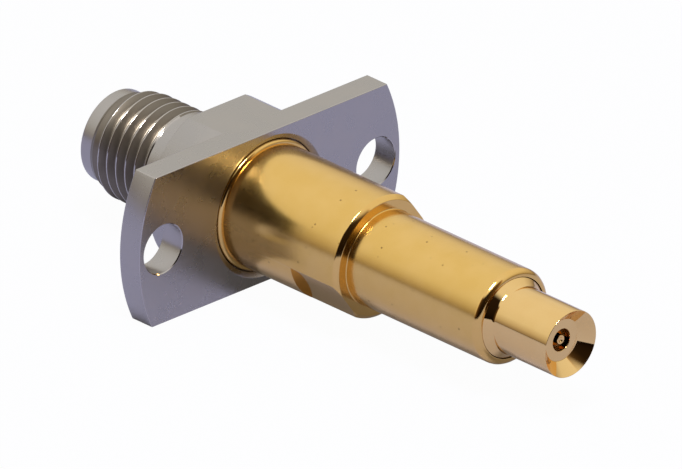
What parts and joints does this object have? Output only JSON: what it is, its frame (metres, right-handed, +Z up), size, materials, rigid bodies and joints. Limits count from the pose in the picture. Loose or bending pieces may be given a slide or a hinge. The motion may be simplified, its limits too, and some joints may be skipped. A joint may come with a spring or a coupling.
{
  "type": "coaxial probe connector",
  "caption": "Two-hole flange coaxial connector: a threaded jack behind the flange and a gold-plated barrel with a sprung, funnel-ended nose in front.",
  "frame": {"origin": "centre of the flange's front face, midway between its two holes, on the axis", "axes": "+X along the coaxial axis towards the sprung nose, +Y along the flange's long direction through both holes, +Z up, square to the flange's two flats"},
  "size_m": [0.0354, 0.0198, 0.009],
  "materials": {
    "stainless_steel": "satin, passivated",
    "gold_plating": "satin gold plating",
    "polished_gold": "polished gold plating",
    "white_dielectric": "turned fluoropolymer",
    "brass_bush": "turned brass",
    "spring_steel": "drawn stainless spring wire"
  },
  "bodies": {
    "housing": {"jack_body": "stainless_steel", "jack_insulator": "white_dielectric", "jack_contact": "gold_plating", "barrel": "gold_plating", "feed_tube": "gold_plating", "feed_rod": "gold_plating", "rear_bead": "white_dielectric", "front_bead": "white_dielectric", "spring_seat": "brass_bush", "main_spring": "spring_steel"},
    "nose": {"thrust_washer": "spring_steel", "nose_sleeve": "polished_gold", "nose_insulator": "white_dielectric", "contact_carrier": "gold_plating", "tail_pin": "gold_plating", "contact_spring": "spring_steel"},
    "tip": {"contact_tip": "polished_gold"}
  },
  "joints": [
    {"name": "nose_slide", "type": "slide", "parent": "housing", "child": "nose", "axis": [-1, 0, 0], "range_m": [0, 0.003], "stiffness_N_per_m": 1000, "springref_m": -0.0054, "deforming": ["main_spring"]},
    {"name": "tip_slide", "type": "slide", "parent": "nose", "child": "tip", "axis": [-1, 0, 0], "range_m": [0, 0.0005], "stiffness_N_per_m": 430, "springref_m": -0.0012, "deforming": ["contact_spring"]}
  ]
}
